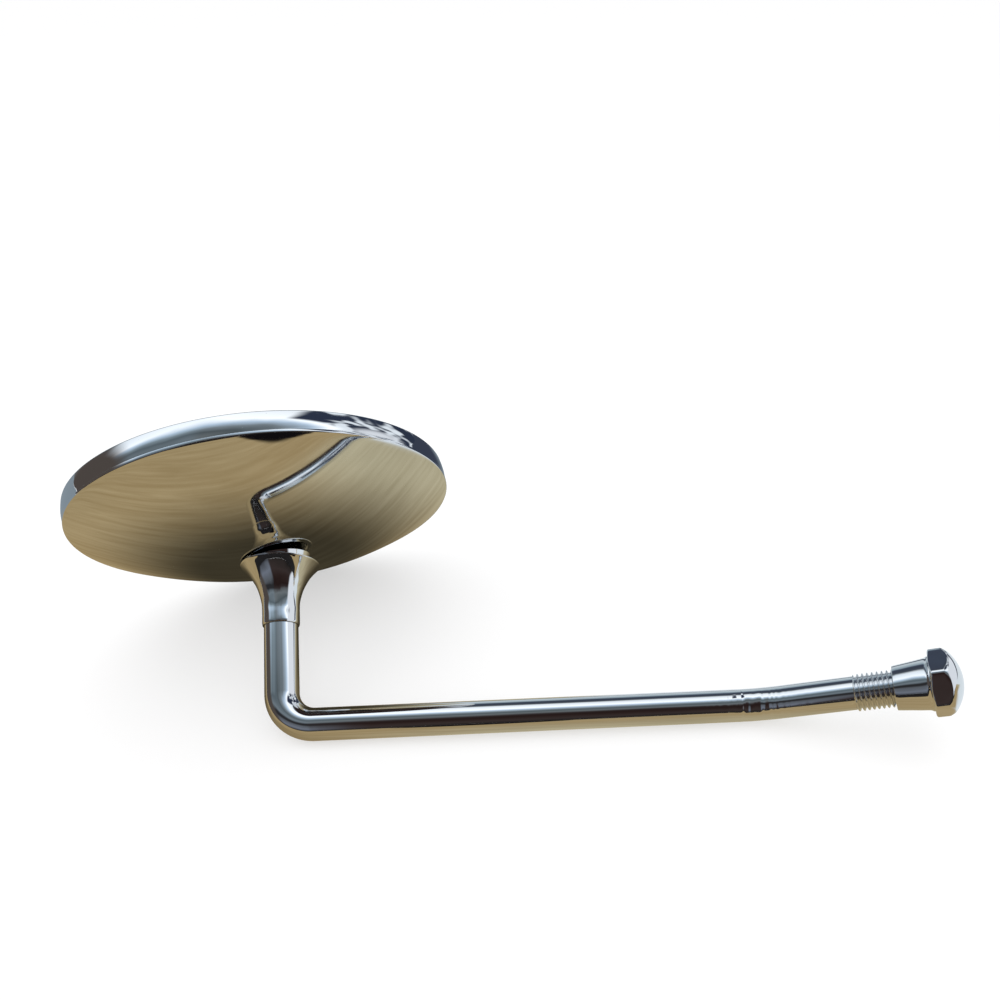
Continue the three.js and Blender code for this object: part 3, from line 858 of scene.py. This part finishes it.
# Brightness of the studio tent by angle from straight up, in degrees, towards the front: where, colour on
# the head's side, colour on the nut's side.
TENT_BANDS = [
    (-90, (0.300, 0.340, 0.360), (0.55, 0.62, 0.66)),
    (-78, (0.330, 0.380, 0.400), (0.60, 0.68, 0.72)),
    (-62, (0.330, 0.400, 0.450), (0.30, 0.38, 0.44)),
    (-54, (0.280, 0.350, 0.400), (0.060, 0.075, 0.110)),
    (-44, (0.085, 0.100, 0.140), (0.050, 0.060, 0.085)),
    (-34, (0.150, 0.180, 0.200), (0.075, 0.090, 0.110)),
    (-24, (0.900, 0.980, 1.050), (0.95, 1.00, 1.05)),
    (-4, (1.200, 1.260, 1.330), (1.30, 1.35, 1.40)),
    (5, (0.560, 0.700, 0.850), (0.56, 0.70, 0.86)),
    (14, (0.230, 0.290, 0.330), (0.22, 0.26, 0.29)),
    (22, (0.110, 0.140, 0.160), (0.09, 0.11, 0.12)),
    (32, (0.190, 0.230, 0.260), (0.17, 0.19, 0.20)),
    (42, (0.030, 0.030, 0.033), (0.040, 0.030, 0.030)),
    (52, (0.028, 0.028, 0.031), (0.022, 0.012, 0.011)),
    (60, (0.110, 0.120, 0.135), (0.030, 0.018, 0.016)),
    (76, (0.175, 0.195, 0.240), (0.045, 0.032, 0.030)),
    (86, (0.100, 0.110, 0.130), (0.030, 0.024, 0.022)),
    (92, (0.020, 0.020, 0.026), (0.018, 0.015, 0.014)),
]


def sheet(name, low, high, height):
    """Flat stage piece at a height, from one corner to the other."""
    mesh = bpy.data.meshes.new(name)
    plan = [(low[0], low[1]), (high[0], low[1]), (high[0], high[1]), (low[0], high[1])]
    corners = [(*corner, height) for corner in plan]
    mesh.from_pydata(corners, [], [(0, 1, 2, 3)])
    made = bpy.data.objects.new(name, mesh)
    bpy.context.scene.collection.objects.link(made)
    return made


def reflection_only(made):
    """Seen in the chrome, and by nothing else."""
    made.visible_camera = False
    made.visible_diffuse = False
    made.visible_shadow = False


def pale_floor():
    paper = Finish("pale_paper")
    paper.set(
        Base_Color=(0.42, 0.42, 0.42), Roughness=0.9, Specular_IOR_Level=0.1,
        Emission_Color=(1.0, 1.0, 1.0), Emission_Strength=0.56,
    )
    floor = sheet("floor", (-6, -6), (6, 6), 0.0)
    floor.data.materials.append(paper.material)
    floor.visible_glossy = False
    floor.visible_transmission = False


CARD_EDGE = -0.112
HEAD_SHADE = (-0.075, 0.020)  # middle of the painted shadow of the head on the card
DARK_SPOT = (-0.014, -0.096)


def bench_card():
    """Oak-coloured card under the mirror, which only the chrome sees; it glows, so its colour is painted
    light, with a painted shadow of the head on it.
    """
    oak = Finish("oak_card")
    grain = oak.clouds(0.0028, detail=6, roughness=0.62, stretch=(0.07, 1, 1), warp=0.4)
    bands = oak.clouds(0.030, detail=3, stretch=(0.12, 1, 1), warp=0.8)
    tone = (grain * 0.65 + bands * 0.35).between(0.30, 0.72)
    x, y, _ = oak.axis_values()

    def distance(spot):
        across, along_y = x - spot[0], y - spot[1]
        return (across * across + along_y * along_y).math("SQRT")

    # Painted shadow of the head: the card darkens towards HEAD_SHADE, to the shaded colour.
    lit = distance(HEAD_SHADE).between(0.024, 0.078)
    warm = oak.mix(tone, (0.350, 0.252, 0.120), (0.490, 0.378, 0.205))
    cool = oak.mix(tone, (0.430, 0.375, 0.238), (0.575, 0.515, 0.350))
    board = oak.mix(x.between(-0.060, 0.000) * y.between(-0.055, -0.030), warm, cool)
    shaded = oak.mix(tone, (0.040, 0.032, 0.018), (0.062, 0.052, 0.031))
    colour = oak.mix(lit, shaded, board)
    # Painted light and shade: pale behind the far half of the stem and beside the nut, dim far behind the
    # head.
    behind = x.between(0.010, 0.035) * y.between(-0.030, -0.024)
    beside = x.between(0.120, 0.130) * y.between(-0.060, -0.045) * (1 - x.between(0.19, 0.26))
    colour = oak.mix(behind.math("MAXIMUM", beside), colour, (0.80, 0.86, 0.90))
    far = oak.mix(x.between(-0.040, 0.040), (0.25, 0.30, 0.34), (0.045, 0.055, 0.085))
    colour = oak.mix(y.between(0.060, 0.090), colour, far)
    colour = oak.mix(distance(DARK_SPOT).between(0.028, 0.032), (0.006, 0.005, 0.006), colour)
    # The card glows: its emission is painted light standing in for the lit bench.
    oak.set(Base_Color=(0, 0, 0), Specular_IOR_Level=0.0, Emission_Color=colour, Emission_Strength=1.0)
    card = sheet("bench_card", (-1.0, CARD_EDGE), (1.0, 1.0), 0.00004)
    card.data.materials.append(oak.material)
    reflection_only(card)

    dark = Finish("dark_cloth")
    dark.set(Base_Color=(0.012, 0.010, 0.010), Roughness=0.9, Specular_IOR_Level=0.1)
    cloth = sheet("dark_cloth", (-1.0, -1.0), (1.0, CARD_EDGE), 0.00004)
    cloth.data.materials.append(dark.material)
    reflection_only(cloth)


def light_tent():
    """Half globe of soft light round the stem, in bands that run along it; only the chrome sees it."""
    rows = []
    for k in range(25):
        height = math.radians(90 * k / 24)
        ring = []
        for i in range(64):
            angle = TURN * i / 64
            level = math.cos(height)
            direction = Vector((math.cos(angle) * level, math.sin(angle) * level, math.sin(height)))
            ring.append(STAGE_CENTRE + direction * TENT_RADIUS)
        rows.append(ring if k < 24 else [STAGE_CENTRE + Vector((0, 0, TENT_RADIUS))])
    tent = skin("light_tent", rows)
    cloth = Finish("tent_cloth")
    x, y, z = cloth.axis_values()
    angle = (STAGE_CENTRE.y - y).math("ARCTAN2", z) * (180 / math.pi)
    wander = (cloth.clouds(0.5, detail=2) - 0.5) * 14
    place = (angle + wander + TENT_REACH) / (2 * TENT_REACH)
    ramps = []
    for side in (1, 2):
        stops = [((band[0] + TENT_REACH) / (2 * TENT_REACH), band[side]) for band in TENT_BANDS]
        ramps.append(cloth.node("ValToRGB", {"stops": stops}, {0: place}).outputs[0])
    colour = cloth.mix(x.between(-0.44, -0.30), *ramps)
    # Dark with blobs of light at the right rear, brown at the far left and bright at the far right.
    blobs = cloth.clouds(0.22, detail=1.0).between(0.50, 0.66)
    navy = cloth.mix(blobs, (0.030, 0.040, 0.070), (0.90, 0.96, 1.02))
    colour = cloth.mix(x.between(0.28, 0.40) * y.between(0.02, 0.14), colour, navy)
    colour = cloth.mix(x.between(-1.00, -0.88), (0.085, 0.070, 0.062), colour)
    colour = cloth.mix(x.between(0.84, 0.94), colour, (0.84, 0.87, 0.92))
    glow = cloth.node("Emission", None, {"Color": colour, "Strength": 1.0})
    cloth.tree.links.new(glow.outputs[0], cloth.tree.nodes["Material Output"].inputs[0])
    tent.data.materials.append(cloth.material)
    reflection_only(tent)


def soft_light(name, spot, size, watts, colour=(1, 1, 1)):
    """Square soft box aimed at the middle of the stage, kept out of the chrome."""
    lamp = bpy.data.lights.new(name, "AREA")
    lamp.shape = "SQUARE"
    lamp.size = size
    lamp.energy = watts
    lamp.color = colour
    box = bpy.data.objects.new(name, lamp)
    box.location = spot
    box.rotation_mode = "QUATERNION"
    box.rotation_quaternion = (Vector((0, 0, 0)) - Vector(spot)).to_track_quat("-Z", "Y")
    box.visible_glossy = False
    bpy.context.scene.collection.objects.link(box)


def lights():
    soft_light("overhead_box", (0.1, 0.1, 1.5), 1.6, 5, (0.98, 0.99, 1.0))
    soft_light("left_box", (-1.3, -0.5, 0.9), 1.0, 3, (1.0, 0.99, 0.97))
    soft_light("front_box", (0.5, -1.4, 1.0), 1.0, 2)
    world = bpy.data.worlds.new("studio_air")
    world.use_nodes = True
    world.node_tree.nodes["Background"].inputs["Color"].default_value = (0.99, 0.99, 1.0, 1)
    world.node_tree.nodes["Background"].inputs["Strength"].default_value = 1.0
    bpy.context.scene.world = world


def camera():
    """Near view from the front, looking down over the stem at the back of the head."""
    pitch, yaw, roll = math.radians(38.37), math.radians(2.92), math.radians(-0.48)
    ahead = Vector((math.sin(yaw) * math.cos(pitch), math.cos(yaw) * math.cos(pitch), -math.sin(pitch)))
    right = Vector((math.cos(yaw), -math.sin(yaw), 0))
    down = ahead.cross(right)
    level_right = right * math.cos(roll) - down * math.sin(roll)
    level_down = right * math.sin(roll) + down * math.cos(roll)
    view = bpy.data.cameras.new("camera")
    view.sensor_width = 36
    view.lens = 30.6
    view.shift_x = -0.120
    view.shift_y = 0.119
    view.clip_start = 0.01
    made = bpy.data.objects.new("camera", view)
    turn = Matrix((level_right, -level_down, -ahead)).transposed().to_4x4()
    made.matrix_world = Matrix.Translation((0.021822, -0.200644, 0.168815)) @ turn
    bpy.context.scene.collection.objects.link(made)
    bpy.context.scene.camera = made


# ---------------------------------------------------------------- assembly
camera()
plate_chrome = chrome_finish("chrome_plate", 0.030, 0.000010)
spun_chrome = chrome_finish("spun_chrome", 0.040, 0.000006)
zinc = zinc_finish()
nylon = nylon_finish()

rod_piece(plate_chrome)
collar_piece(plate_chrome)
ball_pieces(zinc, nylon)
dome_piece(spun_chrome)
rim_piece(plate_chrome)
seal_piece(rubber_finish())
glass_pieces(glass_finish(), silver_finish(), foam_finish())
clamp_pieces(zinc)
cap_piece(plate_chrome)
lock_insert(nylon)

pale_floor()
bench_card()
light_tent()
lights()
bpy.context.scene.view_settings.view_transform = "Standard"
